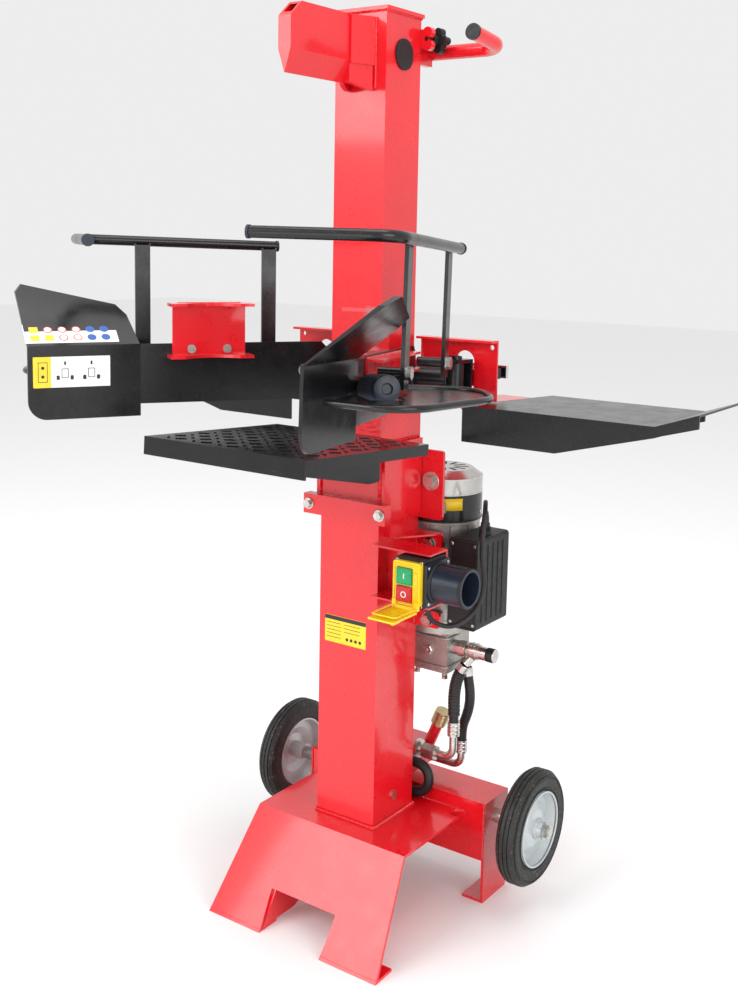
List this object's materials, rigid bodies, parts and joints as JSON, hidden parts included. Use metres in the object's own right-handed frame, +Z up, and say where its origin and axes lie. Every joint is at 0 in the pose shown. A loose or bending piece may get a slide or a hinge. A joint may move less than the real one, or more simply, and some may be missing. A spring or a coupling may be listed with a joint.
{
  "type": "log splitter",
  "caption": "Vertical electric hydraulic log splitter: a square ram column lowers a wedge onto a log table, with hand levers, side tables, motor pump unit and rear wheels.",
  "frame": {"origin": "bottom centre of the whole splitter's box, on the floor", "axes": "+X is the operator's right, -Y is the front where the operator stands, +Z is up along the column"},
  "size_m": [1.142, 0.7092, 1.528],
  "materials": {
    "red_paint": "gloss",
    "black_paint": "gloss",
    "zinc": "satin",
    "ground_steel": "polished",
    "grey_cast": "satin",
    "black_plastic": "matte",
    "grip_plastic": "satin",
    "yellow_plastic": "satin",
    "green_plastic": "satin",
    "red_plastic": "satin",
    "white_plastic": "matte",
    "rubber_black": "matte",
    "tyre_black": "matte",
    "brass": "satin"
  },
  "bodies": {
    "frame": {"base_frame": "red_paint", "axle_beam": "red_paint", "axle": "zinc", "outer_column": "red_paint", "column_guide_pads": "white_plastic", "splitting_table": "black_paint", "table_collar": "red_paint", "guide_brackets": "red_paint", "side_table_left": "black_paint", "side_table_right": "black_paint", "frame_bolts": "zinc", "frame_pins": "zinc", "cylinder_barrel": "black_paint", "control_valve": "grey_cast", "motor_housing": "grey_cast", "fan_cowl": "black_plastic", "capacitor_box": "black_plastic", "pump_body": "grey_cast", "hose_fittings": "zinc", "pressure_hose": "rubber_black", "tank_hose": "rubber_black", "return_hose": "rubber_black", "filler_neck": "red_paint", "motor_cable": "rubber_black", "column_brackets": "red_paint", "switch_box": "black_plastic", "switch_frame": "yellow_plastic", "power_inlet": "grip_plastic"},
    "ram": {"ram_tube": "red_paint", "ram_guide_shoes": "white_plastic", "splitting_wedge": "red_paint", "ram_plugs": "black_plastic", "transport_handle": "red_paint", "piston_rod": "ground_steel"},
    "handle_knob": {"star_knob": "black_plastic"},
    "tank_cap": {"filler_cap": "brass"},
    "start_button": {"green_button": "green_plastic"},
    "stop_button": {"red_button": "red_plastic"},
    "switch_cover": {"switch_flap": "yellow_plastic"},
    "rotor": {"motor_rotor": "ground_steel"},
    "driven_gear": {"pump_driven_gear": "ground_steel"},
    "valve_linkage": {"valve_spool": "ground_steel"},
    "wheel_left": {"tyre_left": "tyre_black", "rim_left": "zinc"},
    "wheel_right": {"tyre_right": "tyre_black", "rim_right": "zinc"},
    "lever_left": {"lever_left": "black_paint"},
    "arm_left": {"arm_plate_left": "black_paint", "grips_left": "grip_plastic", "hand_guard_left": "black_paint", "log_guard_left": "black_paint", "log_claw_left": "red_paint", "arm_bolts_left": "zinc"},
    "lever_right": {"lever_right": "black_paint"},
    "arm_right": {"arm_plate_right": "black_paint", "grips_right": "grip_plastic", "hand_guard_right": "black_paint", "log_guard_right": "black_paint", "log_claw_right": "red_paint", "arm_bolts_right": "zinc"}
  },
  "joints": [
    {"name": "ram_slide", "type": "slide", "parent": "frame", "child": "ram", "axis": [0, 0, -1], "range_m": [0, 0.43]},
    {"name": "star_knob_turn", "type": "hinge", "parent": "ram", "child": "handle_knob", "pos_m": [0.062, 0.1926, 1.489], "axis": [0, 1, 0], "continuous": true},
    {"name": "filler_cap_turn", "type": "hinge", "parent": "frame", "child": "tank_cap", "pos_m": [0.038, 0.2626, 0.227], "axis": [0.3907, 0, 0.9205], "continuous": true},
    {"name": "green_button_press", "type": "slide", "parent": "frame", "child": "start_button", "axis": [0, 1, 0], "range_m": [0, 0.003], "stiffness_N_per_m": 400, "springref_m": -0.001},
    {"name": "red_button_press", "type": "slide", "parent": "frame", "child": "stop_button", "axis": [0, 1, 0], "range_m": [0, 0.003], "stiffness_N_per_m": 400, "springref_m": -0.001},
    {"name": "switch_flap_hinge", "type": "hinge", "parent": "frame", "child": "switch_cover", "pos_m": [0.146, 0.0156, 0.579], "axis": [1, 0, 0], "range_deg": [-90, 0]},
    {"name": "motor_spin", "type": "hinge", "parent": "frame", "child": "rotor", "pos_m": [0.064, 0.2596, 0.6], "axis": [0, 0, 1], "continuous": true},
    {"name": "driven_gear_spin", "type": "hinge", "parent": "frame", "child": "driven_gear", "pos_m": [0.064, 0.2816, 0.435], "axis": [0, 0, 1], "continuous": true},
    {"name": "lever_left_press", "type": "hinge", "parent": "frame", "child": "lever_left", "pos_m": [-0.15, 0.2226, 0.935], "axis": [1, 0, 0], "range_deg": [0, 6], "stiffness_Nm_per_rad": 60, "springref_deg": -31.51},
    {"name": "lever_right_press", "type": "hinge", "parent": "frame", "child": "lever_right", "pos_m": [0.15, 0.2226, 0.935], "axis": [1, 0, 0], "range_deg": [0, 7], "stiffness_Nm_per_rad": 60, "springref_deg": -31.51},
    {"name": "arm_left_swing", "type": "hinge", "parent": "lever_left", "child": "arm_left", "pos_m": [-0.15, 0.1426, 0.935], "axis": [0, 0, 1], "range_deg": [-20, 12]},
    {"name": "arm_right_swing", "type": "hinge", "parent": "lever_right", "child": "arm_right", "pos_m": [0.15, 0.14264, 0.93751], "axis": [0, 0.0314, 0.9995], "range_deg": [-2, 25]},
    {"name": "valve_slide", "type": "slide", "parent": "frame", "child": "valve_linkage", "axis": [0, 0, 1], "range_m": [0, 0.01]},
    {"name": "wheel_left_spin", "type": "hinge", "parent": "frame", "child": "wheel_left", "pos_m": [-0.261, 0.2546, 0.15], "axis": [1, 0, 0], "continuous": true},
    {"name": "wheel_right_spin", "type": "hinge", "parent": "frame", "child": "wheel_right", "pos_m": [0.261, 0.2546, 0.15], "axis": [1, 0, 0], "continuous": true}
  ],
  "couplings": [
    {"joint": "driven_gear_spin", "follows": "motor_spin", "ratio": -1},
    {"joint": "valve_slide", "follows": "lever_left_press", "m_per_rad": 0.08}
  ]
}
